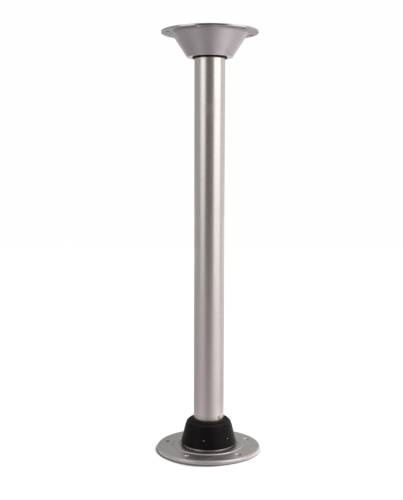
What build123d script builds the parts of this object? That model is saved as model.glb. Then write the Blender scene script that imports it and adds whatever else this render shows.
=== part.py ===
from build123d import *
import math
import os

# A removable table pedestal. A round floor plate carries a tapered socket, a leg tube stands in
# the socket and lifts out of it, and a conical table mount sits on the tube's head.
#
# Millimetres, +Z up. The origin is on the floor, at the centre of the floor plate's underside.
# Azimuths are in degrees from +X towards +Y.

# ---- Whole object ----
overall_height = 706.0  # floor to the underside of the table top
running_gap = 0.05  # radial, between round faces that turn or slide on each other
slip_gap = 0.03  # radial, between round faces that are fastened together
cut_margin = 5.0  # how far a cutter runs past the face that it opens

# ---- Leg tube ----
tube_radius = 25.4
tube_wall = 2.0

# ---- Plugs in the two ends of the tube ----
plug_wall = 3.0
plug_lip = 3.0  # thickness of the flange that caps the tube's end
plug_lip_inset = 0.4  # how far the flange stays inside the tube's outer face
plug_edge_round = 1.2
foot_plug_margin = 10.5  # how far the foot plug goes on past the rivets
head_plug_length = 25.0

# ---- Blind rivets that hold the foot plug ----
rivet_count = 2
rivet_azimuth = -46.0
rivet_rise = 7.0  # above the collar's top
rivet_shank_radius = 1.6
rivet_head_radius = 3.25
rivet_head_height = 1.2
rivet_tail_radius = 2.4
rivet_tail_length = 2.2

# ---- Shoulder screws and washers that the bushes turn under ----
pivot_shoulder_radius = 4.0
pivot_thread_radius = 2.5
pivot_thread_length = 4.0
pivot_head_radius = 6.0
pivot_head_height = 2.8
pivot_head_round = 0.6
pivot_key_radius = 2.3  # corner radius of the hexagon socket
pivot_key_depth = 1.8
pivot_washer_radius = 7.4
pivot_washer_thickness = 0.8
pivot_float = 0.1  # end play of the bush under the washer

# ---- Bushes that the tube's ends slide into ----
socket_bush_wall = 5.55
mount_bush_wall = 3.55
mount_bush_lip = 2.0  # how far it stands out of the table mount's mouth
bush_web = 2.5  # what is left of the closed end under the pivot screw's pocket
bush_pocket_side_gap = 0.6  # round the washer
bush_pocket_top_gap = 0.3  # between the screw's head and the tube's plug
bush_mouth_chamfer = 0.8
bush_edge_chamfer = 0.5
bush_mouth_round = 1.5  # outer edge of the open end

# ---- Tapered collar round the socket ----
collar_height = 43.0
collar_top_wall = 6.0  # both walls are measured as if the side ran on past its roundings
collar_foot_wall = 9.87
collar_top_round = 6.5
collar_foot_round = 3.5
collar_bore_chamfer = 0.5

# ---- Floor plate, from the rim inwards ----
rim_height = 7.4
rim_round = 3.2
rim_foot_round = 0.8
face_width = 28.05  # crowned face that has the screw holes
face_rise = 0.9
step_run = 1.0
step_rise = 1.2
step_round = 0.6
plateau_width = 15.05
seat_rise = 1.5  # raised ring that the collar stands on
seat_inset = 4.0  # how far the ring stays inside the collar's widest part
seat_round = 0.35
hub_wall = 7.0
hub_rise = 22.0  # above the seat ring
hub_edge_round = 0.8
plate_skin = 3.4  # thickness at the rim, over the hollow underside
plate_web = 3.0  # thickness under the bush, over the hollow underside
land_width = 6.0  # face round the rim that stands on the floor
core_radius = 14.0  # solid centre that takes the pivot screw's thread
plate_rib_width = 4.0

# ---- Screw holes in the floor plate ----
floor_hole_count = 5
floor_hole_azimuth = -48.0
floor_hole_inset = 15.05  # from the plate's edge
floor_boss_radius = 8.0
screw_hole_radius = 2.75  # clears a 5 mm countersunk screw
countersink_radius = 5.0

# ---- Screws that hold the collar to the plate's hub ----
collar_screw_count = 6
collar_screw_azimuth = -101.5
collar_screw_drop = 7.0  # below the hub's top
collar_screw_radius = 1.45
collar_screw_bite = 4.0  # how far the thread goes into the hub
collar_screw_head_radius = 1.9
collar_screw_head_height = 1.4
collar_screw_recess_radius = 2.6
collar_screw_recess_depth = 1.7

# ---- Table mount: a cone with a flange, carried by a cup that holds the bush ----
mount_height = 42.5
cone_lean = 33.1  # degrees from upright
cone_wall = 3.3  # measured level
cone_lip = 2.5  # thickness of the lip that stands on the cup's flange
cone_blend = 2.5  # fillet between the cone and the flange
flange_thickness = 3.0
flange_width = 17.25
flange_round = 0.6
cup_wall = 3.0
cup_flange_thickness = 2.5
mouth_width = 8.55  # from the cup's bore to the edge of its flange
mouth_round = 1.0
web_cover = 0.5  # metal left over the pivot screw's thread, in the cup's closed end
web_drop = 0.5  # how far that end stays below the table top
table_hole_count = 6
table_hole_azimuth = -164.0
table_hole_inset = 8.6  # from the flange's edge
table_countersink_radius = 4.75

# ---- Radii that follow, from the tube outwards ----
bush_bore_radius = tube_radius + running_gap
socket_bush_radius = bush_bore_radius + socket_bush_wall
hub_bore_radius = socket_bush_radius + running_gap
hub_radius = hub_bore_radius + hub_wall
collar_bore_radius = hub_radius + slip_gap
collar_top_radius = hub_bore_radius + collar_top_wall
collar_foot_radius = collar_bore_radius + collar_foot_wall
seat_radius = collar_foot_radius - seat_inset
step_radius = seat_radius + plateau_width + step_run
plate_radius = step_radius + face_width
floor_hole_radius = plate_radius - floor_hole_inset

mount_bush_radius = bush_bore_radius + mount_bush_wall
cup_bore_radius = mount_bush_radius + running_gap
cup_radius = cup_bore_radius + cup_wall
cone_mouth_radius = cup_bore_radius + mouth_width
cone_rise = mount_height - flange_thickness
cone_top_radius = cone_mouth_radius + cone_rise * math.tan(math.radians(cone_lean))
flange_radius = cone_top_radius + flange_width
table_hole_radius = flange_radius - table_hole_inset

bush_pocket_radius = pivot_washer_radius + bush_pocket_side_gap

# ---- Heights that follow, from the floor up ----
bush_pocket_depth = pivot_float + pivot_washer_thickness + pivot_head_height + bush_pocket_top_gap
bush_end = bush_web + bush_pocket_depth
pivot_shoulder_length = bush_web + pivot_float + pivot_washer_thickness

recess_height = rim_height - plate_skin
core_height = recess_height + plate_web
step_foot_height = rim_height + face_rise
plateau_height = step_foot_height + step_rise
seat_height = plateau_height + seat_rise
hub_height = seat_height + hub_rise
collar_screw_height = hub_height - collar_screw_drop
collar_top_height = seat_height + collar_height
foot_height = core_height + bush_end
rivet_height = collar_top_height + rivet_rise
foot_plug_length = rivet_height - foot_height + foot_plug_margin
socket_bush_length = collar_top_height - core_height

mouth_height = overall_height - mount_height
cone_foot_height = mouth_height + cup_flange_thickness
flange_height = overall_height - flange_thickness
web_thickness = pivot_thread_length + web_cover
web_height = overall_height - web_drop - web_thickness
head_height = web_height - bush_end
mount_bush_length = web_height - mouth_height + mount_bush_lip


def turned(*corners):
    """A solid turned about Z. Each corner is its radius, its height and its rounding."""
    points = [(radius, height) for radius, height, rounding in corners]
    roundings = [rounding for radius, height, rounding in corners]
    outline = FilletPolyline(*points, radius=roundings, close=True)
    return revolve(Plane.XZ * make_face(outline), Axis.Z)


def disc(radius, low, high):
    """A plain cylinder on the axis between two heights."""
    return Pos(0, 0, low) * Cylinder(
        radius, high - low, align=(Align.CENTER, Align.CENTER, Align.MIN)
    )


def on_line(start, end, where):
    """Second coordinate, at a given first coordinate, of the line through two points."""
    share = (where - start[0]) / (end[0] - start[0])
    return start[1] + share * (end[1] - start[1])


def every(count, first):
    """The azimuths of a number of equally spaced features."""
    return [first + index * 360.0 / count for index in range(count)]


def pointing_out(solid, azimuth, height):
    """Lays a solid made along +Z so that it points away from the axis: its z becomes a radius."""
    return Pos(0, 0, height) * Rot(0, 0, azimuth) * Rot(0, 90, 0) * solid


def upside_down(solid, height):
    """Turns a solid made above z = 0 over, so that it hangs below the given height."""
    return Pos(0, 0, height) * Rot(180, 0, 0) * solid


def countersunk_hole(head_face, far_face, head_radius):
    """Cutter for a screw hole on Z, with a right-angled countersink that opens at head_face."""
    way = math.copysign(cut_margin, head_face - far_face)
    sink_end = head_face - math.copysign(head_radius - screw_hole_radius, way)
    return turned(
        (0, far_face - way, 0),
        (screw_hole_radius, far_face - way, 0),
        (screw_hole_radius, sink_end, 0),
        (head_radius, head_face, 0),
        (head_radius, head_face + way, 0),
        (0, head_face + way, 0),
    )


# ---- Floor fixture ----
def floor_plate():
    """Cast plate with a crowned face, a raised plateau, a seat ring and a hub for the socket."""
    plate = turned(
        (0, 0, 0),
        (plate_radius, 0, rim_foot_round),
        (plate_radius, rim_height, rim_round),
        (step_radius, step_foot_height, step_round),
        (step_radius - step_run, plateau_height, step_round),
        (seat_radius, plateau_height, 0),
        (seat_radius, seat_height, seat_round),
        (hub_radius, seat_height, 0),
        (hub_radius, hub_height, hub_edge_round),
        (hub_bore_radius, hub_height, 0),
        (hub_bore_radius, core_height, 0),
        (0, core_height, 0),
    )
    plate -= floor_plate_hollow()
    rim_edge = (plate_radius, rim_height)
    step_foot = (step_radius, step_foot_height)
    face_height = on_line(rim_edge, step_foot, floor_hole_radius)
    for azimuth in every(floor_hole_count, floor_hole_azimuth):
        hole = countersunk_hole(face_height, 0, countersink_radius)
        plate -= Rot(0, 0, azimuth) * Pos(floor_hole_radius, 0, 0) * hole
    for azimuth in every(collar_screw_count, collar_screw_azimuth):
        thread = disc(
            collar_screw_radius + slip_gap, hub_radius - collar_screw_bite, hub_radius + cut_margin
        )
        plate -= pointing_out(thread, azimuth, collar_screw_height)
    plate -= disc(
        pivot_thread_radius + slip_gap, core_height - pivot_thread_length, core_height + cut_margin
    )
    return plate


def floor_plate_hollow():
    """The plate's hollow underside, clear of its land, core, screw bosses and ribs."""
    land_radius = plate_radius - land_width
    hollow = disc(land_radius, -cut_margin, recess_height)
    hollow -= disc(core_radius, -cut_margin, recess_height)
    rib = Pos(0, 0, -cut_margin) * Box(
        land_radius,
        plate_rib_width,
        recess_height + cut_margin,
        align=(Align.MIN, Align.CENTER, Align.MIN),
    )
    boss = Pos(floor_hole_radius, 0, 0) * disc(floor_boss_radius, -cut_margin, recess_height)
    for azimuth in every(floor_hole_count, floor_hole_azimuth):
        hollow -= Rot(0, 0, azimuth) * rib
        hollow -= Rot(0, 0, azimuth) * boss
    return hollow


def collar_side(height):
    """Outer radius of the collar's straight side at a height."""
    return on_line((seat_height, collar_foot_radius), (collar_top_height, collar_top_radius), height)


def socket_collar():
    """Tapered collar that stands on the seat ring, over the hub, with its screws' recesses."""
    collar = turned(
        (collar_bore_radius, seat_height, 0),
        (collar_foot_radius, seat_height, collar_foot_round),
        (collar_top_radius, collar_top_height, collar_top_round),
        (hub_bore_radius + collar_bore_chamfer, collar_top_height, 0),
        (hub_bore_radius, collar_top_height - collar_bore_chamfer, 0),
        (hub_bore_radius, hub_height + slip_gap, 0),
        (collar_bore_radius, hub_height + slip_gap, 0),
    )
    recess_floor = collar_side(collar_screw_height) - collar_screw_recess_depth
    recess = disc(collar_screw_recess_radius, recess_floor, collar_foot_radius + cut_margin)
    clearance = disc(collar_screw_radius + slip_gap, hub_radius, recess_floor + cut_margin)
    for azimuth in every(collar_screw_count, collar_screw_azimuth):
        collar -= pointing_out(recess, azimuth, collar_screw_height)
        collar -= pointing_out(clearance, azimuth, collar_screw_height)
    return collar


def dome(radius, height):
    """A low round head that stands on z = 0: a slice of a ball."""
    ball_radius = (radius**2 + height**2) / (2 * height)
    ball = Pos(0, 0, height - ball_radius) * Sphere(ball_radius)
    return ball & disc(radius + cut_margin, 0, height)


def collar_screws():
    """Small domed screws through the collar's foot into the hub."""
    recess_floor = collar_side(collar_screw_height) - collar_screw_recess_depth
    screw = disc(collar_screw_radius, hub_radius - collar_screw_bite, recess_floor)
    screw += Pos(0, 0, recess_floor) * dome(collar_screw_head_radius, collar_screw_head_height)
    azimuths = every(collar_screw_count, collar_screw_azimuth)
    return [pointing_out(screw, azimuth, collar_screw_height) for azimuth in azimuths]


# ---- Bushes and what they turn under ----
def bush(radius, length):
    """Closed-ended bush that stands on z = 0 with its mouth up, a pocket in its end inside."""
    mouth_radius = bush_bore_radius + bush_mouth_chamfer
    return turned(
        (pivot_shoulder_radius + running_gap, 0, 0),
        (radius - bush_edge_chamfer, 0, 0),
        (radius, bush_edge_chamfer, 0),
        (radius, length, bush_mouth_round),
        (mouth_radius, length, 0),
        (bush_bore_radius, length - bush_mouth_chamfer, 0),
        (bush_bore_radius, bush_end, 0),
        (bush_pocket_radius, bush_end, 0),
        (bush_pocket_radius, bush_end - bush_pocket_depth, 0),
        (pivot_shoulder_radius + running_gap, bush_end - bush_pocket_depth, 0),
    )


def pivot_screw():
    """Shoulder screw whose shoulder stands on z = 0, thread below and head above."""
    head_top = pivot_shoulder_length + pivot_head_height
    screw = turned(
        (0, -pivot_thread_length, 0),
        (pivot_thread_radius, -pivot_thread_length, 0),
        (pivot_thread_radius, 0, 0),
        (pivot_shoulder_radius, 0, 0),
        (pivot_shoulder_radius, pivot_shoulder_length, 0),
        (pivot_head_radius, pivot_shoulder_length, 0),
        (pivot_head_radius, head_top, pivot_head_round),
        (0, head_top, 0),
    )
    key = extrude(RegularPolygon(pivot_key_radius, 6), pivot_key_depth + cut_margin)
    return screw - Pos(0, 0, head_top - pivot_key_depth) * key


def pivot_washer():
    """Flat washer under the pivot screw's head, clear of the bush by the end play."""
    top = pivot_shoulder_length
    washer = disc(pivot_washer_radius, top - pivot_washer_thickness, top)
    return washer - disc(pivot_shoulder_radius + slip_gap, -cut_margin, top + cut_margin)


# ---- Leg ----
def rivet_places():
    """The azimuths of the rivets round the tube."""
    return every(rivet_count, rivet_azimuth)


def rivet_hole(azimuth):
    """Cutter for one rivet's hole through the tube and the foot plug's wall."""
    hole = disc(rivet_shank_radius + slip_gap, 0, tube_radius + cut_margin)
    return pointing_out(hole, azimuth, rivet_height)


def leg_tube():
    """Straight round tube between the two plugs' flanges."""
    low = foot_height + plug_lip
    high = head_height - plug_lip
    tube = disc(tube_radius, low, high) - disc(tube_radius - tube_wall, low, high)
    for azimuth in rivet_places():
        tube -= rivet_hole(azimuth)
    return tube


def tube_plug(length):
    """Hollow plug with its flange on z = 0 and its body above, made to fill the tube's bore."""
    lip_radius = tube_radius - plug_lip_inset
    body_radius = tube_radius - tube_wall - slip_gap
    return turned(
        (0, 0, 0),
        (lip_radius, 0, plug_edge_round),
        (lip_radius, plug_lip, 0),
        (body_radius, plug_lip, 0),
        (body_radius, length, plug_edge_round),
        (body_radius - plug_wall, length, 0),
        (body_radius - plug_wall, plug_lip, 0),
        (0, plug_lip, 0),
    )


def foot_plug():
    """Plug in the tube's lower end, drilled for the rivets."""
    plug = Pos(0, 0, foot_height) * tube_plug(foot_plug_length)
    for azimuth in rivet_places():
        plug -= rivet_hole(azimuth)
    return plug


def foot_rivets():
    """Blind rivets: a domed head on the tube, a shank and a set tail inside the plug."""
    plug_bore = tube_radius - tube_wall - slip_gap - plug_wall
    tail_outer = math.sqrt(plug_bore**2 - rivet_tail_radius**2) - slip_gap
    tail_inner = tail_outer - rivet_tail_length
    rivet = disc(rivet_shank_radius, tail_inner, tube_radius)
    rivet += disc(rivet_tail_radius, tail_inner, tail_outer)
    head = Pos(0, 0, tube_radius) * dome(rivet_head_radius, rivet_head_height)
    skirt_depth = tube_radius - math.sqrt(tube_radius**2 - rivet_head_radius**2)
    head += disc(rivet_head_radius, tube_radius - skirt_depth, tube_radius)
    tube_face = Rot(0, 90, 0) * Cylinder(tube_radius, 2 * rivet_head_radius + cut_margin)
    rivet += head - tube_face
    return [pointing_out(rivet, azimuth, rivet_height) for azimuth in rivet_places()]


# ---- Table mount ----
def cone_side(height):
    """Outer radius of the cone at a height."""
    return on_line((mouth_height, cone_mouth_radius), (flange_height, cone_top_radius), height)


def table_mount():
    """Cone with a lip at its small end and a flange for the table top at its large end."""
    lip_top = cone_foot_height + cone_lip
    mount = turned(
        (cup_radius + slip_gap, cone_foot_height, 0),
        (cone_side(cone_foot_height), cone_foot_height, 0),
        (cone_top_radius, flange_height, cone_blend),
        (flange_radius, flange_height, flange_round),
        (flange_radius, overall_height, flange_round),
        (cone_side(overall_height) - cone_wall, overall_height, flange_round),
        (cone_side(lip_top) - cone_wall, lip_top, 0),
        (cup_radius + slip_gap, lip_top, 0),
    )
    hole = countersunk_hole(flange_height, overall_height, table_countersink_radius)
    for azimuth in every(table_hole_count, table_hole_azimuth):
        mount -= Rot(0, 0, azimuth) * Pos(table_hole_radius, 0, 0) * hole
    return mount


def mount_cup():
    """Closed cup round the mount's bush, with a flange under the cone's lip."""
    web_top = web_height + web_thickness
    cup = turned(
        (cup_bore_radius + bush_edge_chamfer, mouth_height, 0),
        (cone_mouth_radius, mouth_height, mouth_round),
        (cone_side(cone_foot_height), cone_foot_height, 0),
        (cup_radius, cone_foot_height, 0),
        (cup_radius, web_top, flange_round),
        (0, web_top, 0),
        (0, web_height, 0),
        (cup_bore_radius, web_height, 0),
        (cup_bore_radius, mouth_height + bush_edge_chamfer, 0),
    )
    thread_radius = pivot_thread_radius + slip_gap
    return cup - disc(thread_radius, web_height - cut_margin, web_height + pivot_thread_length)


parts = {
    "floor_plate": floor_plate(),
    "socket_collar": socket_collar(),
    "collar_screws": collar_screws(),
    "socket_bush": Pos(0, 0, core_height) * bush(socket_bush_radius, socket_bush_length),
    "socket_pivot_screw": Pos(0, 0, core_height) * pivot_screw(),
    "socket_pivot_washer": Pos(0, 0, core_height) * pivot_washer(),
    "leg_tube": leg_tube(),
    "foot_plug": foot_plug(),
    "foot_rivets": foot_rivets(),
    "head_plug": upside_down(tube_plug(head_plug_length), head_height),
    "mount_bush": upside_down(bush(mount_bush_radius, mount_bush_length), web_height),
    "mount_pivot_screw": upside_down(pivot_screw(), web_height),
    "mount_pivot_washer": upside_down(pivot_washer(), web_height),
    "mount_cup": mount_cup(),
    "table_mount": table_mount(),
}

os.makedirs("parts", exist_ok=True)
for name, shape in parts.items():
    if isinstance(shape, list):
        shape = Compound(children=shape)
    export_step(shape, f"parts/{name}.step")
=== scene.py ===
import math

import bmesh
import bpy
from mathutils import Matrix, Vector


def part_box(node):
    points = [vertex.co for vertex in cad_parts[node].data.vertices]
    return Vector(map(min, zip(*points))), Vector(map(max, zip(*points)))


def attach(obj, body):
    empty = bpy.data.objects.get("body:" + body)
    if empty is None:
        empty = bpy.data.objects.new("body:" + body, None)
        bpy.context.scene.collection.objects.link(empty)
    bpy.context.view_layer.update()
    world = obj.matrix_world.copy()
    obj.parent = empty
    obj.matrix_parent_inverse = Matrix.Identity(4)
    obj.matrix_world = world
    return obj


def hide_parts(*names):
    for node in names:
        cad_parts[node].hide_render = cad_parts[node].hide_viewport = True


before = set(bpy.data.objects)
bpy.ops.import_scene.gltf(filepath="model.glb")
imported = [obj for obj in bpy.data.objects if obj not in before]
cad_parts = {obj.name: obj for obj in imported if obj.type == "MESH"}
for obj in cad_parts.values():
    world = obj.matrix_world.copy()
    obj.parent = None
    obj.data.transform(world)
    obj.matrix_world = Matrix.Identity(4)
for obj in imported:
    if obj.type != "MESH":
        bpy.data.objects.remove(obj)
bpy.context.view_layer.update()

# The looks of a removable table pedestal: a turned floor plate with a black tapered socket, a
# satin anodised leg tube and a cast, conical table mount.
#
# Metres, +Z up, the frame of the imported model. Azimuths are in degrees from +X towards +Y, except
# in the studio, where they are from the camera's side (-Y) towards the right (+X).

MM = 0.001

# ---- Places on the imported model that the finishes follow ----
plate_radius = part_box("floor_plate")[1][0]
step_radius = plate_radius - 28.05 * MM  # edge of the raised plateau
seat_radius = plate_radius - 44.1 * MM  # edge of the ring that the collar stands on
floor_hole_ring = 73.0 * MM
floor_holes = 5
floor_hole_azimuth = -48.0
plate_hollow = 4.0 * MM  # height of the hollow underside
land_width = 6.0 * MM  # face round the rim that stands on the floor

collar_screw_count = 6
collar_screw_azimuth = -101.5
rivet_count = 2
rivet_azimuth = -46.0

collar_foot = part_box("socket_collar")[0][2]
collar_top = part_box("socket_collar")[1][2]
collar_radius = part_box("socket_collar")[1][0]
tube_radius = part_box("leg_tube")[1][0]
tube_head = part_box("leg_tube")[1][2]

flange_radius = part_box("table_mount")[1][0]
table_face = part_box("table_mount")[1][2]
flange_face = table_face - 3.0 * MM
table_hole_ring = 72.0 * MM
table_holes = 6
table_hole_azimuth = -164.0
mouth_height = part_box("mount_cup")[0][2]


# ---- Nodes ----
class Reading:
    """One output of a node, so that maths on what varies over a surface reads as maths."""

    def __init__(self, nodes, socket):
        self.nodes = nodes
        self.socket = socket

    def maths(self, operation, *values):
        return self.nodes.maths(operation, *values)

    def __add__(self, other):
        return self.maths("ADD", self, other)

    def __sub__(self, other):
        return self.maths("SUBTRACT", self, other)

    def __rsub__(self, other):
        return self.maths("SUBTRACT", other, self)

    def __rtruediv__(self, other):
        return self.maths("DIVIDE", other, self)

    def __neg__(self):
        return self.maths("MULTIPLY", self, -1.0)

    def __mul__(self, other):
        return self.maths("MULTIPLY", self, other)

    def __pow__(self, other):
        return self.maths("POWER", self, other)

    def __mod__(self, other):
        return self.maths("FLOORED_MODULO", self, other)

    def __abs__(self):
        return self.maths("ABSOLUTE", self)

    __radd__ = __add__
    __rmul__ = __mul__


class Nodes:
    """Adds nodes to one tree. Settings go in first, because some of them change the sockets."""

    def __init__(self, tree):
        self.tree = tree

    def add(self, kind, settings=None, values=(), out=0):
        node = self.tree.nodes.new(kind)
        for name, setting in (settings or {}).items():
            setattr(node, name, setting)
        pairs = values.items() if isinstance(values, dict) else enumerate(values)
        for name, value in pairs:
            self.put(socket_called(node.inputs, name), value)
        return Reading(self, socket_called(node.outputs, out))

    def maths(self, operation, *values):
        return self.add("ShaderNodeMath", {"operation": operation}, values)

    def put(self, socket, value):
        if isinstance(value, Reading):
            self.tree.links.new(value.socket, socket)
        else:
            socket.default_value = value


def socket_called(sockets, name):
    """A socket by its number, its identifier or its name."""
    if isinstance(name, int):
        return sockets[name]
    for socket in sockets:
        if socket.identifier == name:
            return socket
    return sockets[name]


class Finish(Nodes):
    """A material while it is put together: a metal or plastic whose shader sockets are fed.

    Its place is where it is on the object or, for a small piece that has one, the attribute
    own_place: where it is on that piece, whose own axis is Z.
    """

    def __init__(self, name, own_place=False, **constants):
        self.material = bpy.data.materials.new(name)
        self.material.use_nodes = True
        super().__init__(self.material.node_tree)
        self.shader = self.tree.nodes["Principled BSDF"]
        for socket, value in constants.items():
            self.feed(socket.replace("_", " "), value)
        if own_place:
            self.place = self.add("ShaderNodeAttribute", {"attribute_name": "own_place"}, out="Vector")
        else:
            self.place = self.add("ShaderNodeTexCoord", out="Object")
        split = self.add("ShaderNodeSeparateXYZ", values=[self.place])
        self.x, self.y, self.z = (Reading(self, output) for output in split.socket.node.outputs)
        self.radius = (self.x * self.x + self.y * self.y) ** 0.5
        self.azimuth = self.add("ShaderNodeMath", {"operation": "ARCTAN2"}, [self.y, self.x])

    def feed(self, socket, value):
        self.put(self.shader.inputs[socket], value)

    def joined(self, x, y, z):
        return self.add("ShaderNodeCombineXYZ", values=[x, y, z])

    def stretched(self, across, along):
        """The place scaled by one number across the axis and by another along it."""
        scale = (across, across, along)
        return self.add("ShaderNodeMapping", values={"Vector": self.place, "Scale": scale})

    def round_axis(self, outward, around, along):
        """A place for marks that run round the axis: scales for the radius, the turn and the height."""
        return self.joined(self.radius * outward, self.azimuth * around, self.z * along)

    def turned_place(self, degrees, across, along):
        """The place turned about Z and stretched, for straight marks that all run one way."""
        return self.add(
            "ShaderNodeMapping",
            values={
                "Vector": self.place,
                "Rotation": (0.0, 0.0, math.radians(degrees)),
                "Scale": (along, across, across),
            },
        )

    def from_ring(self, count, first, ring, shift=0.0):
        """Distance from the nearest of a number of centres that are equally spaced on a ring. The
        whole ring can be shifted along X."""
        x = self.x - shift
        radius = (x * x + self.y * self.y) ** 0.5
        azimuth = self.add("ShaderNodeMath", {"operation": "ARCTAN2"}, [self.y, x])
        pitch = math.tau / count
        turn = (azimuth - (math.radians(first) - pitch / 2)) % pitch - pitch / 2
        beside = radius * self.maths("SINE", turn)
        beyond = radius * self.maths("COSINE", turn) - ring
        return (beside * beside + beyond * beyond) ** 0.5

    def noise(self, place, scale=1.0, detail=2.0):
        return self.add(
            "ShaderNodeTexNoise",
            values={"Vector": place, "Scale": scale, "Detail": detail, "Roughness": 0.5},
        )

    def marks(self, place, reach, rarity):
        """Scattered marks, one in some of the cells of a pattern. Their reach is in cells, and the
        nearer the rarity is to 1, the fewer cells have one."""
        cells = self.add("ShaderNodeTexVoronoi", values={"Vector": place, "Scale": 1.0}, out="Distance")
        chance = Reading(self, socket_called(cells.socket.node.outputs, "Color"))
        return self.step(cells, reach, reach * 0.4) * self.step(chance, rarity, rarity + 0.02)

    def step(self, value, start, end):
        """0 before start and 1 after end, with a smooth way between; end may be below start."""
        return smooth_step(self, value, start, end)

    def near(self, value, centre, reach):
        """1 at centre, falling smoothly to 0 at a reach to both sides of it."""
        return self.step(abs(value - centre), reach, 0.0)

    def tinted(self, first, second, share):
        """A mix of two colours."""
        return self.add(
            "ShaderNodeMix",
            {"data_type": "RGBA"},
            {"Factor_Float": share, "A_Color": first, "B_Color": second},
            out="Result_Color",
        )

    def facing_up(self, start=0.75, end=0.98):
        """1 on faces that point up, as on ledges where dust settles. The limits are the upward
        part of the face's normal."""
        normal = self.add("ShaderNodeNewGeometry", out="Normal")
        outputs = self.add("ShaderNodeSeparateXYZ", values=[normal]).socket.node.outputs
        return self.step(Reading(self, outputs[2]), start, end)

    def relief(self, height):
        """Feeds a relief, in millimetres, to the shader's normal."""
        bump = self.add("ShaderNodeBump", values={"Height": height, "Distance": MM, "Strength": 1.0})
        self.feed("Normal", bump)


def rgb(red, green, blue):
    return (red, green, blue, 1.0)


def smooth_step(nodes, value, start, end):
    """0 before start and 1 after end, with a smooth way between; end may be below start."""
    return nodes.add(
        "ShaderNodeMapRange",
        {"interpolation_type": "SMOOTHSTEP"},
        {"Value": value, "From Min": start, "From Max": end},
    )


def near_to(nodes, value, centre, reach):
    """1 at centre, falling smoothly to 0 at a reach to both sides of it."""
    return smooth_step(nodes, abs(value - centre), reach, 0.0)


# ---- Studio ----
def lamp_material(name):
    """A new material without its usual shader, and its nodes."""
    material = bpy.data.materials.new(name)
    material.use_nodes = True
    material.node_tree.nodes.remove(material.node_tree.nodes["Principled BSDF"])
    return material, Nodes(material.node_tree)


def faced(name, corners):
    """A flat piece of the studio from its corners."""
    mesh = bpy.data.meshes.new(name)
    mesh.from_pydata(corners, [], [range(len(corners))])
    piece = bpy.data.objects.new(name, mesh)
    bpy.context.collection.objects.link(piece)
    return piece


def studio_camera():
    """Stands 1.4 m in front, above the middle, and looks slightly down."""
    data = bpy.data.cameras.new("studio_camera")
    data.sensor_width = 36.0
    data.lens = 61.03
    camera = bpy.data.objects.new("studio_camera", data)
    camera.location = (-0.0133, -1.4257, 0.4761)
    camera.rotation_euler = (math.radians(84.70), math.radians(-0.14), 0.0)
    bpy.context.collection.objects.link(camera)
    bpy.context.scene.camera = camera


def parts_of(nodes, vector):
    """The x, y and z of a vector."""
    outputs = nodes.add("ShaderNodeSeparateXYZ", values=[vector]).socket.node.outputs
    return [Reading(nodes, outputs[index]) for index in range(3)]


def softbox(name, azimuth, distance, width, height, low, high):
    """An upright diffuser that faces the axis and stands on the floor. It is brighter at its top,
    fades at its sides, and doesn't show to the camera."""
    half = width / 2
    box = faced(name, [(-half, 0, 0), (half, 0, 0), (half, height, 0), (-half, height, 0)])
    turn = math.radians(azimuth)
    box.location = (distance * math.sin(turn), -distance * math.cos(turn), 0.001)
    box.rotation_euler = (math.radians(90.0), 0.0, turn)
    box.visible_camera = False
    box.visible_shadow = False
    material, nodes = lamp_material(name)
    across, up, _ = parts_of(nodes, nodes.add("ShaderNodeTexCoord", out="Object"))
    side_fade = smooth_step(nodes, abs(across), half, half * 0.55)
    rise = smooth_step(nodes, up, 0.0, height * 0.7)
    strength = side_fade * (low + (high - low) * rise)
    cloth = nodes.add("ShaderNodeEmission", values={"Color": rgb(1.0, 1.0, 1.0), "Strength": strength})
    nodes.put(material.node_tree.nodes["Material Output"].inputs["Surface"], cloth)
    box.data.materials.append(material)


def studio_world():
    """White to the camera; to everything else, a grey room that is dark and warm behind the
    camera, with a bright panel and a dark gap overhead, and whose white sweep is bright below the
    horizon on the far side."""
    world = bpy.data.worlds.new("studio")
    world.use_nodes = True
    bpy.context.scene.world = world
    nodes = Nodes(world.node_tree)
    right, back, up = parts_of(nodes, nodes.add("ShaderNodeTexCoord", out="Generated"))
    brighter_right = smooth_step(nodes, right, -0.2, 0.9)
    behind_camera = smooth_step(nodes, back, -0.80, -0.95)
    darker_left = near_to(nodes, right, -0.20, 0.25) * smooth_step(nodes, back, 0.6, 0.85)
    overhead = smooth_step(nodes, up, 0.35, 0.95)
    overhead_dip = near_to(nodes, right, -0.12, 0.42) * smooth_step(nodes, up, 0.70, 0.93)
    overhead_panel = near_to(nodes, right, 0.38, 0.24) * near_to(nodes, back, 0.10, 0.30)
    overhead_panel = overhead_panel * smooth_step(nodes, up, 0.75, 0.90)
    far_sweep = smooth_step(nodes, up, 0.0, -0.1) * smooth_step(nodes, back, 0.6, 0.9)
    level = 0.40 + 0.34 * brighter_right - 0.14 * darker_left
    level = level * (1.0 - 0.70 * behind_camera) + 0.25 * overhead + 0.44 * far_sweep
    level = level - 0.42 * overhead_dip + 0.60 * overhead_panel
    colour = nodes.add(
        "ShaderNodeMix",
        {"data_type": "RGBA"},
        {"Factor_Float": behind_camera, "A_Color": rgb(1.0, 0.985, 0.975), "B_Color": rgb(1.0, 0.93, 0.83)},
        out="Result_Color",
    )
    room = nodes.add("ShaderNodeBackground", values={"Color": colour, "Strength": level})
    paper = nodes.add("ShaderNodeBackground", values={"Color": rgb(1.0, 0.994, 0.997), "Strength": 1.0})
    seen = nodes.add("ShaderNodeLightPath", out="Is Camera Ray")
    shown = nodes.add("ShaderNodeMixShader", values=[seen, room, paper])
    nodes.put(world.node_tree.nodes["World Output"].inputs["Surface"], shown)


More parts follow.
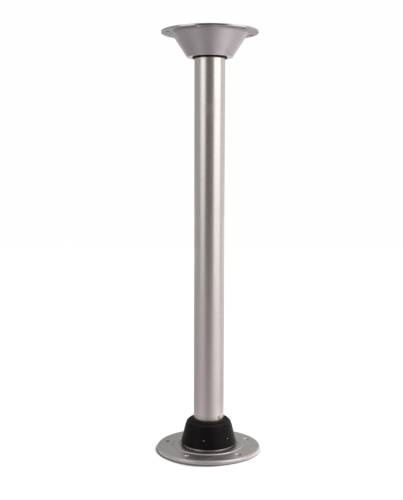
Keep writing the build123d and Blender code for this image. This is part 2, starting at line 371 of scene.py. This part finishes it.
def studio_floor():
    """Pale paper: white to the camera but for the thin shadow under the plate's rim, which is
    widest at the left, and unevenly lit grey in reflections, darkest towards the camera and
    brightest at the right."""
    half = 4.0
    floor = faced("studio_floor", [(-half, -half, 0), (half, -half, 0), (half, half, 0), (-half, half, 0)])
    material, nodes = lamp_material("floor_paper")
    x, y, _ = parts_of(nodes, nodes.add("ShaderNodeTexCoord", out="Object"))
    turn = nodes.add("ShaderNodeMath", {"operation": "ARCTAN2"}, [x, -y]) * math.degrees(1.0)
    distance = (x * x + y * y) ** 0.5
    left_glow = near_to(nodes, turn, -58.0, 45.0)
    front_dip = near_to(nodes, turn, -8.0, 32.0)
    right_side = smooth_step(nodes, turn, 0.0, 75.0) * smooth_step(nodes, turn, 180.0, 140.0)
    right_ring = near_to(nodes, distance, 0.60, 0.30) * smooth_step(nodes, turn, 118.0, 78.0)
    right_dip = smooth_step(nodes, turn, 65.0, 110.0) * (1.0 - right_ring)
    right_glow = 0.34 + 0.12 * smooth_step(nodes, distance, 0.35, 0.8)
    right_glow = right_side * (right_glow + 0.18 * right_ring - 0.14 * right_dip)
    far_dip = near_to(nodes, turn, 2.0, 40.0) * smooth_step(nodes, distance, 0.3, 1.6)
    at_rim = smooth_step(nodes, distance, 0.30, 0.13)
    rim_glow = at_rim * (0.12 + 0.55 * smooth_step(nodes, turn, 35.0, 75.0))
    level = 0.40 + 0.09 * left_glow - 0.07 * front_dip + right_glow - 0.14 * far_dip + rim_glow
    level = level + 0.17 * smooth_step(nodes, y, 1.0, 2.6)
    reflected = nodes.add(
        "ShaderNodeEmission", values={"Color": rgb(1.0, 0.935, 0.975), "Strength": level}
    )
    open_sky = nodes.add(
        "ShaderNodeAmbientOcclusion", {"samples": 16, "only_local": False}, {"Distance": 0.03}, out="AO"
    )
    less_sky = open_sky - 0.08 * near_to(nodes, x, -0.030, 0.055)
    shadow = smooth_step(nodes, less_sky, 0.87, 0.70) * smooth_step(nodes, x, 0.045, 0.0)
    under = smooth_step(nodes, open_sky, 0.70, 0.40)
    white = nodes.add(
        "ShaderNodeEmission",
        values={"Color": rgb(1.0, 0.994, 0.997), "Strength": (1.04 - 0.88 * shadow) * (1.0 - 0.8 * under)},
    )
    seen = nodes.add("ShaderNodeLightPath", out="Is Camera Ray")
    shown = nodes.add("ShaderNodeMixShader", values=[seen, reflected, white])
    nodes.put(material.node_tree.nodes["Material Output"].inputs["Surface"], shown)
    floor.data.materials.append(material)


# ---- Finishes ----
def drawn_tube():
    """Satin anodised tube: drawn lines along it, handling marks, nicks, rubbed ends, and a painted
    reflection of the black collar just above it.
    """
    finish = Finish("drawn_tube", Metallic=1.0)
    lines = finish.noise(finish.stretched(2600.0, 9.0), detail=3.0)
    streaks = finish.noise(finish.stretched(230.0, 5.0), detail=2.0)
    handled = finish.step(finish.noise(finish.place, 21.0, detail=4.0), 0.50, 0.68)
    worn_head = finish.step(finish.z, tube_head - 36.0 * MM, tube_head - 32.0 * MM)
    worn_foot = finish.step(finish.z, collar_top + 1.0 * MM, collar_top - 2.0 * MM)
    ring_lines = finish.noise(finish.round_axis(60.0, 2.2, 2100.0), detail=2.0)
    rubbed = (worn_head + worn_foot) * finish.step(ring_lines, 0.46, 0.60)
    darkening = finish.near(finish.z, collar_top + 0.5 * MM, 1.8 * MM) * finish.step(streaks, 0.30, 0.55)
    # Darker towards the collar: a painted reflection of the black collar in the tube.
    painted_collar_reflection = finish.step(finish.z, collar_top + 11.0 * MM, collar_top + 2.0 * MM)
    scratches = finish.marks(finish.stretched(520.0, 34.0), 0.10, 0.62)
    nicks = finish.marks(finish.stretched(95.0, 60.0), 0.075, 0.70)
    shade = finish.tinted(rgb(0.745, 0.700, 0.655), rgb(0.800, 0.755, 0.715), streaks * 0.7 + lines * 0.3)
    shade = finish.tinted(shade, rgb(0.70, 0.655, 0.61), handled * 0.45)
    shade = finish.tinted(shade, rgb(0.86, 0.84, 0.82), rubbed * 0.5 + scratches * 0.35)
    # Darker with dirt at the collar, with nicks, and with the painted reflection of the collar.
    shade = finish.tinted(shade, rgb(0.16, 0.14, 0.13), darkening * 0.55 + nicks * 0.7 + painted_collar_reflection * 0.28)
    finish.feed("Base Color", shade)
    finish.feed(
        "Roughness",
        0.215 + lines * 0.07 + streaks * 0.05 + handled * 0.06 + rubbed * 0.12 + darkening * 0.2 + nicks * 0.3,
    )
    finish.relief(lines * 0.002 - scratches * 0.005 - nicks * 0.05 - rubbed * 0.003)
    return finish.material


def turned_plate():
    """Floor plate: turned face with burnished edges, dirt in its corners, marks of the screws'
    heads round the holes, painted shade under the collar, down the bores, in the countersinks and
    along the foot of the rim, and an as-cast hollow underside."""
    finish = Finish("turned_plate", Metallic=1.0)
    rings = finish.noise(finish.round_axis(2300.0, 0.7, 1500.0), detail=3.0)
    bands = finish.noise(finish.round_axis(330.0, 0.25, 330.0), detail=2.0)
    cloud = finish.noise(finish.place, 42.0, detail=4.0)
    handled = finish.step(cloud, 0.50, 0.66)
    speckle = finish.noise(finish.place, 900.0, detail=2.0)
    underside = finish.step(finish.z, plate_hollow + 0.3 * MM, plate_hollow + 0.1 * MM) * finish.step(
        finish.radius, plate_radius - land_width + 0.2 * MM, plate_radius - land_width - 0.1 * MM
    )
    rim_edge = finish.near(finish.radius, plate_radius - 1.2 * MM, 1.6 * MM)
    step_edge = finish.near(finish.radius, step_radius - 0.5 * MM, 0.9 * MM)
    seat_edge = finish.near(finish.radius, seat_radius, 0.5 * MM)
    burnished = (rim_edge * 0.4 + step_edge + seat_edge) * finish.step(bands, 0.25, 0.6)
    step_corner = finish.near(finish.radius, step_radius + 1.1 * MM, 1.2 * MM)
    seat_corner = finish.near(finish.radius, seat_radius + 0.6 * MM, 0.9 * MM)
    dirt = (step_corner + seat_corner) * finish.step(cloud, 0.30, 0.55)
    # Darker along the foot of the rim: painted shadow where the plate meets the floor.
    painted_foot_shadow = finish.step(finish.z, 2.0 * MM, 0.9 * MM) * finish.step(
        finish.radius, plate_radius - 1.8 * MM, plate_radius - 1.0 * MM
    )
    # Darker in the gap under the collar's foot: painted shade.
    shade_under_collar = finish.step(finish.radius, seat_radius + 0.2 * MM, seat_radius + 1.0 * MM) * finish.step(
        finish.radius, collar_radius + 7.0 * MM, collar_radius + 1.0 * MM
    )
    from_hole = finish.from_ring(floor_holes, floor_hole_azimuth, floor_hole_ring)
    countersink = finish.step(from_hole, 5.3 * MM, 5.0 * MM)
    head_mark = finish.near(from_hole, 5.9 * MM, 0.8 * MM) * finish.step(speckle, 0.40, 0.60)
    scratches = finish.marks(finish.turned_place(28.0, 420.0, 30.0), 0.10, 0.60)
    scratches = scratches + finish.marks(finish.turned_place(-63.0, 380.0, 22.0), 0.10, 0.66)
    shade = finish.tinted(rgb(0.600, 0.572, 0.562), rgb(0.715, 0.690, 0.678), bands * 0.6 + rings * 0.4)
    shade = finish.tinted(shade, rgb(0.52, 0.49, 0.475), handled * 0.35)
    shade = finish.tinted(shade, rgb(0.83, 0.81, 0.79), burnished * 0.6 + scratches * 0.35)
    shade = finish.tinted(shade, rgb(0.80, 0.78, 0.76), countersink * 0.6 + head_mark * 0.4)
    # Darker in the left hole's countersink and on the right side of every countersink: painted shade, for
    # light from the right.
    painted_hole_shade = countersink * finish.step(finish.x, -60.0 * MM, -66.0 * MM)
    beside_hole = finish.from_ring(floor_holes, floor_hole_azimuth, floor_hole_ring, shift=3.2 * MM)
    painted_hole_shade = finish.maths("MAXIMUM", painted_hole_shade, countersink * finish.step(beside_hole, 3.6 * MM, 2.4 * MM))
    # Darker down the screw holes' bores: painted shade.
    bore_shade = finish.step(from_hole, 3.6 * MM, 2.9 * MM)
    # Dirt in the corners, with painted shade under the collar, down the bores and in the countersinks, and
    # painted shadow along the rim's foot.
    darkening = dirt * 0.28 + shade_under_collar * 0.50 + bore_shade * 0.8 + painted_foot_shadow * 0.8 + painted_hole_shade * 0.65
    shade = finish.tinted(shade, rgb(0.13, 0.115, 0.105), darkening)
    sand = finish.noise(finish.place, 650.0, detail=3.0)
    as_cast = finish.tinted(rgb(0.27, 0.258, 0.25), rgb(0.46, 0.44, 0.425), cloud * 0.5 + sand * 0.5)
    shade = finish.tinted(shade, as_cast, underside)
    finish.feed("Base Color", shade)
    finish.feed(
        "Roughness",
        0.315
        + rings * 0.07
        + handled * 0.07
        + speckle * 0.03
        + dirt * 0.15
        + underside * 0.25
        - burnished * 0.05
        - countersink * 0.05,
    )
    finish.relief(
        rings * 0.004 * (1.0 - underside) - scratches * 0.006 - head_mark * 0.01 + sand * underside * 0.16
    )
    return finish.material


def cast_mount():
    """Cast cone and cup: fine blasted grain, with its flange's face and rim and the ring round the
    mouth turned bright, screws' marks round the holes, painted shade under the flange and in the
    holes, and a painted dark reflection along the front of the rim's side."""
    finish = Finish("cast_mount", Metallic=1.0)
    grain = finish.noise(finish.place, 1700.0, detail=3.0)
    lines = finish.noise(finish.round_axis(900.0, 0.5, 1300.0), detail=2.0)
    rings = finish.noise(finish.round_axis(2300.0, 0.7, 1500.0), detail=3.0)
    cloud = finish.noise(finish.place, 38.0, detail=4.0)
    handled = finish.step(cloud, 0.50, 0.68)
    streaks = finish.noise(finish.round_axis(12.0, 9.0, 12.0), detail=2.0)
    top = finish.step(finish.z, table_face - 0.5 * MM, table_face - 0.2 * MM)
    rim = finish.step(finish.radius, flange_radius - 1.1 * MM, flange_radius - 0.7 * MM)
    mouth = finish.step(finish.z, mouth_height + 1.0 * MM, mouth_height + 0.6 * MM)
    machined = finish.maths("MAXIMUM", finish.maths("MAXIMUM", top, rim), mouth)
    flange_edge = finish.near(finish.radius, flange_radius - 0.3 * MM, 0.8 * MM)
    from_hole = finish.from_ring(table_holes, table_hole_azimuth, table_hole_ring)
    countersink = finish.step(from_hole, 5.0 * MM, 4.7 * MM)
    head_mark = finish.near(from_hole, 5.6 * MM, 0.8 * MM) * finish.step(grain, 0.40, 0.60)
    mottle = finish.noise(finish.place, 260.0, detail=4.0)
    hollow = finish.facing_up(0.05, 0.20) * (1.0 - machined)
    scratches = finish.marks(finish.turned_place(40.0, 400.0, 26.0), 0.10, 0.62)
    pits = finish.marks(finish.stretched(300.0, 300.0), 0.13, 0.66)
    shade = finish.tinted(rgb(0.540, 0.522, 0.522), rgb(0.630, 0.612, 0.612), streaks * 0.6 + grain * 0.4)
    shade = finish.tinted(shade, rgb(0.46, 0.435, 0.43), handled * 0.35)
    shade = finish.tinted(shade, rgb(0.70, 0.685, 0.675), machined * (0.75 + rings * 0.25))
    # The rim's side is darkened most in the middle at the front, a little more right of it: a painted dark
    # reflection of the room behind the camera.
    at_middle = finish.step(abs(finish.x - 5.0 * MM), 36.0 * MM, 16.0 * MM)
    rim_band = rim * finish.step(finish.z, flange_face + 0.2 * MM, flange_face + 0.7 * MM) * (1.0 - top)
    right_of_middle = finish.step(finish.x, -1.0 * MM, 4.0 * MM)
    rim_painted_reflection = rim_band * (0.15 + at_middle * 0.71 + right_of_middle * at_middle * 0.09)
    # Darker in the corner under the flange, towards the cone: painted shade.
    shade_under_flange = finish.step(finish.z, flange_face - 4.0 * MM, flange_face - 0.8 * MM)
    shade_under_flange = shade_under_flange * (1.0 - rim) * (1.0 - top)
    shade = finish.tinted(shade, rgb(0.18, 0.17, 0.165), shade_under_flange * 0.22)
    # The painted dark reflection along the rim's side.
    shade = finish.tinted(shade, rgb(0.055, 0.052, 0.050), rim_painted_reflection)
    shade = finish.tinted(shade, rgb(0.80, 0.785, 0.775), flange_edge * top * 0.3 + scratches * 0.3)
    shade = finish.tinted(shade, rgb(0.78, 0.765, 0.755), countersink * 0.35 + head_mark * 0.4)
    # Darker down the holes' bores: painted shade.
    bore_shade = finish.step(from_hole, 3.6 * MM, 2.9 * MM)
    # Darker in the countersinks at the left and right ends: painted shade.
    side_hole_shade = countersink * finish.step(abs(finish.x), 35.0 * MM, 48.0 * MM)
    shade = finish.tinted(shade, rgb(0.13, 0.115, 0.105), bore_shade * 0.7 + side_hole_shade * 0.6)
    shade = finish.tinted(shade, rgb(0.30, 0.285, 0.275), hollow * finish.step(mottle, 0.42, 0.66) * 0.45)
    shade = finish.tinted(shade, rgb(0.20, 0.185, 0.18), pits * 0.6)
    finish.feed("Base Color", shade)
    finish.feed(
        "Roughness",
        0.28
        + grain * 0.05
        + lines * 0.03
        + handled * 0.06
        + pits * 0.15
        - machined * 0.12
        - countersink * 0.05,
    )
    finish.relief(
        grain * 0.010 * (1.0 - machined)
        + mottle * 0.06 * hollow
        + rings * 0.005 * machined
        - scratches * 0.006
        - pits * 0.04
    )
    return finish.material


def moulded_nylon():
    """Black collar, bushes and plugs: fine moulded grain, scuffs on the edges, wear with a painted
    highlight on the collar's shoulder, rubbed bores and a little dust on what faces up."""
    finish = Finish("moulded_nylon", Specular_IOR_Level=0.12)
    grain = finish.noise(finish.place, 1900.0, detail=2.0)
    leather = finish.noise(finish.place, 620.0, detail=3.0)
    cloud = finish.noise(finish.place, 46.0, detail=3.0)
    flow = finish.noise(finish.round_axis(40.0, 3.0, 160.0), detail=2.0)
    # A lighter ring on the collar's shoulder: wear, and a painted highlight where the rounding catches the
    # light from above.
    top_edge = finish.near(finish.z, collar_top - 3.6 * MM, 1.8 * MM)
    foot_edge = finish.near(finish.z, collar_foot + 1.6 * MM, 1.6 * MM)
    scuffs_and_highlight = (top_edge * 0.6 + foot_edge) * finish.step(leather, 0.48, 0.62)
    shoulder_wear_and_highlight = top_edge * finish.step(leather, 0.20, 0.60)
    scratches = finish.marks(finish.stretched(300.0, 40.0), 0.10, 0.64)
    in_bore = finish.step(finish.radius, tube_radius + 0.6 * MM, tube_radius + 0.2 * MM)
    rubbed = in_bore * finish.step(finish.noise(finish.stretched(900.0, 12.0), detail=2.0), 0.5, 0.7)
    dust = finish.facing_up() * finish.step(cloud + grain * 0.3, 0.55, 0.80)
    flecks = flow * 0.6 + grain * 0.4
    shade = finish.tinted(rgb(0.0042, 0.0031, 0.0033), rgb(0.0078, 0.0060, 0.0063), flecks)
    # Lighter with scuffs and scratches, and with the shoulder's wear and painted highlight.
    shade = finish.tinted(shade, rgb(0.050, 0.045, 0.041), scuffs_and_highlight * 0.40 + scratches * 0.25 + shoulder_wear_and_highlight * 0.30)
    shade = finish.tinted(shade, rgb(0.035, 0.033, 0.033), rubbed * 0.5)
    shade = finish.tinted(shade, rgb(0.070, 0.062, 0.055), dust * 0.10)
    finish.feed("Base Color", shade)
    finish.feed(
        "Roughness", 0.36 + leather * 0.12 + cloud * 0.06 + scuffs_and_highlight * 0.12 + dust * 0.2 - rubbed * 0.1
    )
    finish.relief(leather * 0.030 + grain * 0.010 - scratches * 0.010 - scuffs_and_highlight * 0.010)
    return finish.material


def turned_steel():
    """Stainless shoulder screws and washers on the pivots: turned rings, and darker and rougher round the
    middle, where the key goes.
    """
    finish = Finish("turned_steel", Metallic=1.0)
    rings = finish.noise(finish.round_axis(3000.0, 0.6, 3000.0), detail=2.0)
    cloud = finish.noise(finish.place, 160.0, detail=3.0)
    # Darker and rougher in the middle, where the key goes.
    key = finish.step(finish.radius, 2.6 * MM, 2.2 * MM)
    shade = finish.tinted(rgb(0.52, 0.51, 0.50), rgb(0.66, 0.65, 0.635), rings * 0.6 + cloud * 0.4)
    shade = finish.tinted(shade, rgb(0.30, 0.285, 0.27), key * 0.5)
    finish.feed("Base Color", shade)
    finish.feed("Roughness", 0.18 + rings * 0.08 + cloud * 0.08 + key * 0.12)
    finish.relief(rings * 0.004)
    return finish.material


def screw_steel():
    """Stainless screws in the collar: turned about their own axes, bright with wear at the rim, and with
    painted shade in the cross recess.
    """
    finish = Finish("screw_steel", own_place=True, Metallic=1.0)
    rings = finish.noise(finish.round_axis(5200.0, 0.8, 2400.0), detail=2.0)
    cloud = finish.noise(finish.place, 420.0, detail=3.0)
    # Darker in the cross recess: painted shade.
    cross = finish.step(finish.radius, 1.15 * MM, 0.75 * MM)
    rim = finish.near(finish.radius, 1.75 * MM, 0.3 * MM)
    shade = finish.tinted(rgb(0.44, 0.42, 0.40), rgb(0.60, 0.585, 0.57), rings * 0.5 + cloud * 0.5)
    shade = finish.tinted(shade, rgb(0.16, 0.145, 0.13), cross * 0.5)
    shade = finish.tinted(shade, rgb(0.74, 0.73, 0.715), rim * 0.4)
    finish.feed("Base Color", shade)
    finish.feed("Roughness", 0.24 + rings * 0.08 + cloud * 0.1 + cross * 0.12)
    finish.relief(rings * 0.004)
    return finish.material


def rivet_metal():
    """Aluminium blind rivets: pressed head, drawn mandrel hole with painted shade in it, and darker round
    the head's edge.
    """
    finish = Finish("rivet_metal", own_place=True, Metallic=1.0)
    grain = finish.noise(finish.place, 1500.0, detail=3.0)
    cloud = finish.noise(finish.place, 330.0, detail=3.0)
    # Darker round the head's edge.
    edge = finish.step(finish.radius, 2.65 * MM, 3.1 * MM)
    # Darker in the mandrel hole: painted shade.
    hole = finish.step(finish.radius, 1.15 * MM, 0.95 * MM)
    shade = finish.tinted(rgb(0.56, 0.53, 0.51), rgb(0.68, 0.655, 0.635), cloud * 0.6 + grain * 0.4)
    shade = finish.tinted(shade, rgb(0.10, 0.09, 0.085), edge * 0.55 + hole * 0.55)
    finish.feed("Base Color", shade)
    finish.feed("Roughness", 0.30 + grain * 0.06 + cloud * 0.08 + edge * 0.2 + hole * 0.2)
    finish.relief(grain * 0.006)
    return finish.material


# ---- Fasteners ----
def fastener_ring():
    """Geometry nodes that cut a cross in a fastener's head and set copies of it round the axis.
    The fastener is made along +Z from the origin, and each copy is laid so that it points out."""
    tree = bpy.data.node_groups.new("fastener_ring", "GeometryNodeTree")
    inputs = {
        "Fastener": "Geometry",
        "Count": "Int",
        "First turn": "Float",
        "Height": "Float",
        "Has cross": "Bool",
        "Head top": "Float",
        "Cross length": "Float",
        "Cross width": "Float",
        "Cross depth": "Float",
        "Finish": "Material",
    }
    for name, kind in inputs.items():
        tree.interface.new_socket(name, in_out="INPUT", socket_type="NodeSocket" + kind)
    tree.interface.new_socket("Ring", in_out="OUTPUT", socket_type="NodeSocketGeometry")
    nodes = Nodes(tree)
    given = tree.nodes.new("NodeGroupInput")
    fastener, count, first_turn, height, has_cross, head_top, length, width, depth, finish = (
        Reading(nodes, given.outputs[name]) for name in inputs
    )

    cut_out = fastener
    for across, along in ((length, width), (width, length)):
        size = nodes.add("ShaderNodeCombineXYZ", values=[across, along, depth * 2.0])
        bar = nodes.add("GeometryNodeMeshCube", values={"Size": size})
        place = nodes.add("ShaderNodeCombineXYZ", values=[0.0, 0.0, head_top])
        placed_bar = nodes.add("GeometryNodeTransform", values={"Geometry": bar, "Translation": place})
        cut = tree.nodes.new("GeometryNodeMeshBoolean")
        cut.operation = "DIFFERENCE"
        cut.solver = "EXACT"
        nodes.put(cut.inputs["Mesh 1"], cut_out)
        nodes.put(cut.inputs["Mesh 2"], placed_bar)
        cut_out = Reading(nodes, cut.outputs["Mesh"])
    crossed = nodes.add(
        "GeometryNodeSwitch",
        {"input_type": "GEOMETRY"},
        {"Switch": has_cross, "False": fastener, "True": cut_out},
    )
    placed = nodes.add(
        "GeometryNodeStoreNamedAttribute",
        {"data_type": "FLOAT_VECTOR", "domain": "POINT"},
        {
            "Geometry": crossed,
            "Name": "own_place",
            "Value": nodes.add("GeometryNodeInputPosition"),
        },
    )
    laid = nodes.add(
        "GeometryNodeTransform",
        values={
            "Geometry": placed,
            "Translation": nodes.add("ShaderNodeCombineXYZ", values=[0.0, 0.0, height]),
            "Rotation": (0.0, math.radians(90.0), 0.0),
        },
    )
    points = nodes.add("GeometryNodePoints", values={"Count": count})
    turn = first_turn + nodes.add("GeometryNodeInputIndex") * (math.tau / count)
    copies = nodes.add(
        "GeometryNodeInstanceOnPoints",
        values={
            "Points": points,
            "Instance": laid,
            "Rotation": nodes.add("ShaderNodeCombineXYZ", values=[0.0, 0.0, turn]),
        },
    )
    solid = nodes.add("GeometryNodeRealizeInstances", values={"Geometry": copies})
    finished = nodes.add("GeometryNodeSetMaterial", values={"Geometry": solid, "Material": finish})
    nodes.put(tree.nodes.new("NodeGroupOutput").inputs["Ring"], finished)
    return tree


def shade_smooth(shape, degrees):
    """Smooths all faces, and keeps the edges sharp where they turn by more than an angle."""
    for face in shape.faces:
        face.smooth = True
    for edge in shape.edges:
        edge.smooth = edge.calc_face_angle(0.0) < math.radians(degrees)


def spun(name, profile, segments=40):
    """A closed piece turned about Z from the radii and heights of its profile, in metres."""
    shape = bmesh.new()
    corners = [shape.verts.new((radius, 0.0, height)) for radius, height in profile]
    lines = [shape.edges.new(pair) for pair in zip(corners, corners[1:])]
    bmesh.ops.spin(
        shape,
        geom=corners + lines,
        cent=(0.0, 0.0, 0.0),
        axis=(0.0, 0.0, 1.0),
        angle=math.tau,
        steps=segments,
    )
    bmesh.ops.remove_doubles(shape, verts=shape.verts, dist=0.001 * MM)
    bmesh.ops.recalc_face_normals(shape, faces=shape.faces)
    shade_smooth(shape, 35.0)
    mesh = bpy.data.meshes.new(name)
    shape.to_mesh(mesh)
    shape.free()
    piece = bpy.data.objects.new(name, mesh)
    bpy.context.collection.objects.link(piece)
    return piece


def arc(centre_height, ball_radius, start_radius, end_radius, count):
    """Points on a ball about the axis, between two radii."""
    points = []
    for index in range(count + 1):
        radius = start_radius + (end_radius - start_radius) * index / count
        points.append((radius, centre_height + math.sqrt(ball_radius**2 - radius**2)))
    return points


def head_ball(base, head_radius, head_height):
    """Centre height and radius of the ball that a low domed head is a slice of."""
    ball_radius = (head_radius**2 + head_height**2) / (2 * head_height)
    return base + head_height - ball_radius, ball_radius


def reach_of(node):
    """Least and greatest distance from the axis of a node's corners."""
    spans = [math.hypot(corner.co.x, corner.co.y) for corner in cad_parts[node].data.vertices]
    return min(spans), max(spans)


def middle_height(node):
    low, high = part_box(node)
    return (low[2] + high[2]) / 2


def set_round(piece, node, body, slot, tree, **sizes):
    """Sets a fastener round the axis with the ring's nodes and puts it in a CAD node's place."""
    ring = piece.modifiers.new("ring", "NODES")
    ring.node_group = tree
    for socket in tree.interface.items_tree:
        if socket.in_out == "INPUT" and socket.name in sizes:
            ring[socket.identifier] = sizes[socket.name]
    bpy.context.view_layer.update()
    worked = piece.evaluated_get(bpy.context.evaluated_depsgraph_get())
    mesh = bpy.data.meshes.new_from_object(worked)
    piece.modifiers.clear()
    piece.data = mesh
    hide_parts(node)
    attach(piece, body)


def eased_collar():
    """The collar with its crown falling away to the shoulder, as a moulding's does: a merged copy of
    the CAD piece."""
    drop = 1.6 * MM
    crown_start = 32.2 * MM  # radius at which the crown begins to fall away
    crown_end = 35.5 * MM
    crown_foot = collar_top - 8.0 * MM  # corners below this stay where they are
    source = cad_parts["socket_collar"]
    mesh = source.data.copy()
    mesh.name = "eased_collar"
    shape = bmesh.new()
    shape.from_mesh(mesh)
    bmesh.ops.transform(shape, matrix=source.matrix_world, verts=shape.verts)
    bmesh.ops.remove_doubles(shape, verts=shape.verts, dist=0.001 * MM)
    for corner in shape.verts:
        if corner.co.z > crown_foot:
            reach = (math.hypot(corner.co.x, corner.co.y) - crown_start) / (crown_end - crown_start)
            corner.co.z -= drop * min(max(reach, 0.0), 1.0)
    shade_smooth(shape, 30.0)
    shape.to_mesh(mesh)
    shape.free()
    piece = bpy.data.objects.new("eased_collar", mesh)
    bpy.context.collection.objects.link(piece)
    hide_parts("socket_collar")
    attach(piece, "floor_base")


def collar_screws(tree):
    """Six small pan-headed screws with cross recesses, through the collar into the plate's hub."""
    start, top = reach_of("collar_screws")
    head_radius = 1.9 * MM
    head_height = 1.4 * MM
    shank_radius = 1.45 * MM
    base = top - head_height
    centre, ball = head_ball(base, head_radius, head_height)
    profile = [
        (0.0, start),
        (shank_radius * 0.7, start),
        (shank_radius, start + 0.5 * MM),
        (shank_radius, base),
        (head_radius - 0.1 * MM, base),
        (head_radius, base + 0.08 * MM),
    ]
    profile += arc(centre, ball, head_radius - 0.04 * MM, 0.0, 9)
    piece = spun("collar_screw_heads", profile, segments=36)
    set_round(
        piece,
        "collar_screws",
        "floor_base",
        "stainless_steel",
        tree,
        **{
            "Count": collar_screw_count,
            "First turn": math.radians(collar_screw_azimuth),
            "Height": middle_height("collar_screws"),
            "Has cross": True,
            "Head top": top,
            "Cross length": 2.1 * MM,
            "Cross width": 0.5 * MM,
            "Cross depth": 0.75 * MM,
            "Finish": screw_steel(),
        },
    )


def foot_rivets(tree):
    """Two blind rivets: a domed head pressed onto the tube, with the hole that its mandrel was
    drawn through, and a set tail inside the plug."""
    start, top = reach_of("foot_rivets")
    head_radius = 3.25 * MM
    head_height = 1.2 * MM
    shank_radius = 1.6 * MM
    tail_radius = 2.4 * MM
    tail_length = 2.2 * MM
    hole_radius = 0.95 * MM
    base = top - head_height
    centre, ball = head_ball(base, head_radius, head_height)
    profile = [
        (0.0, start),
        (tail_radius - 0.6 * MM, start),
        (tail_radius, start + 0.6 * MM),
        (tail_radius, start + tail_length - 0.4 * MM),
        (tail_radius - 0.4 * MM, start + tail_length),
        (shank_radius, start + tail_length),
        (shank_radius, base),
        (head_radius, base),
    ]
    profile += arc(centre, ball, head_radius - 0.05 * MM, hole_radius, 8)
    profile += [(hole_radius - 0.15 * MM, top - 0.25 * MM), (hole_radius - 0.2 * MM, top - 0.7 * MM)]
    profile += [(0.3 * MM, top - 0.6 * MM), (0.0, top - 0.6 * MM)]
    piece = spun("foot_rivet_heads", profile)
    # The foot of the head follows the tube, which curves away to both sides of it.
    for corner in piece.data.vertices:
        if abs(corner.co.z - base) < 0.01 * MM:
            corner.co.z = math.sqrt(tube_radius**2 - corner.co.y**2)
    set_round(
        piece,
        "foot_rivets",
        "leg",
        "satin_anodised",
        tree,
        **{
            "Count": rivet_count,
            "First turn": math.radians(rivet_azimuth),
            "Height": middle_height("foot_rivets"),
            "Has cross": False,
            "Finish": rivet_metal(),
        },
    )


# ---- Putting it together ----
tube_finish = drawn_tube()
plate_finish = turned_plate()
mount_finish = cast_mount()
nylon_finish = moulded_nylon()
steel_finish = turned_steel()
finishes = {
    "floor_plate": plate_finish,
    "socket_collar": nylon_finish,
    "socket_bush": nylon_finish,
    "socket_pivot_screw": steel_finish,
    "socket_pivot_washer": steel_finish,
    "leg_tube": tube_finish,
    "foot_plug": nylon_finish,
    "head_plug": nylon_finish,
    "mount_bush": nylon_finish,
    "mount_pivot_screw": steel_finish,
    "mount_pivot_washer": steel_finish,
    "mount_cup": mount_finish,
    "table_mount": mount_finish,
    "collar_screws": steel_finish,
    "foot_rivets": tube_finish,
}
for node, finish in finishes.items():
    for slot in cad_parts[node].material_slots:
        slot.material = finish

eased_collar()
ring_nodes = fastener_ring()
collar_screws(ring_nodes)
foot_rivets(ring_nodes)

studio_camera()
studio_world()
studio_floor()
softbox("right_softbox", 61.5, 1.6, 2.4, 1.9, 1.0, 1.75)
softbox("left_softbox", -53.0, 1.8, 1.7, 1.5, 0.62, 1.30)
bpy.context.scene.view_settings.view_transform = "Standard"
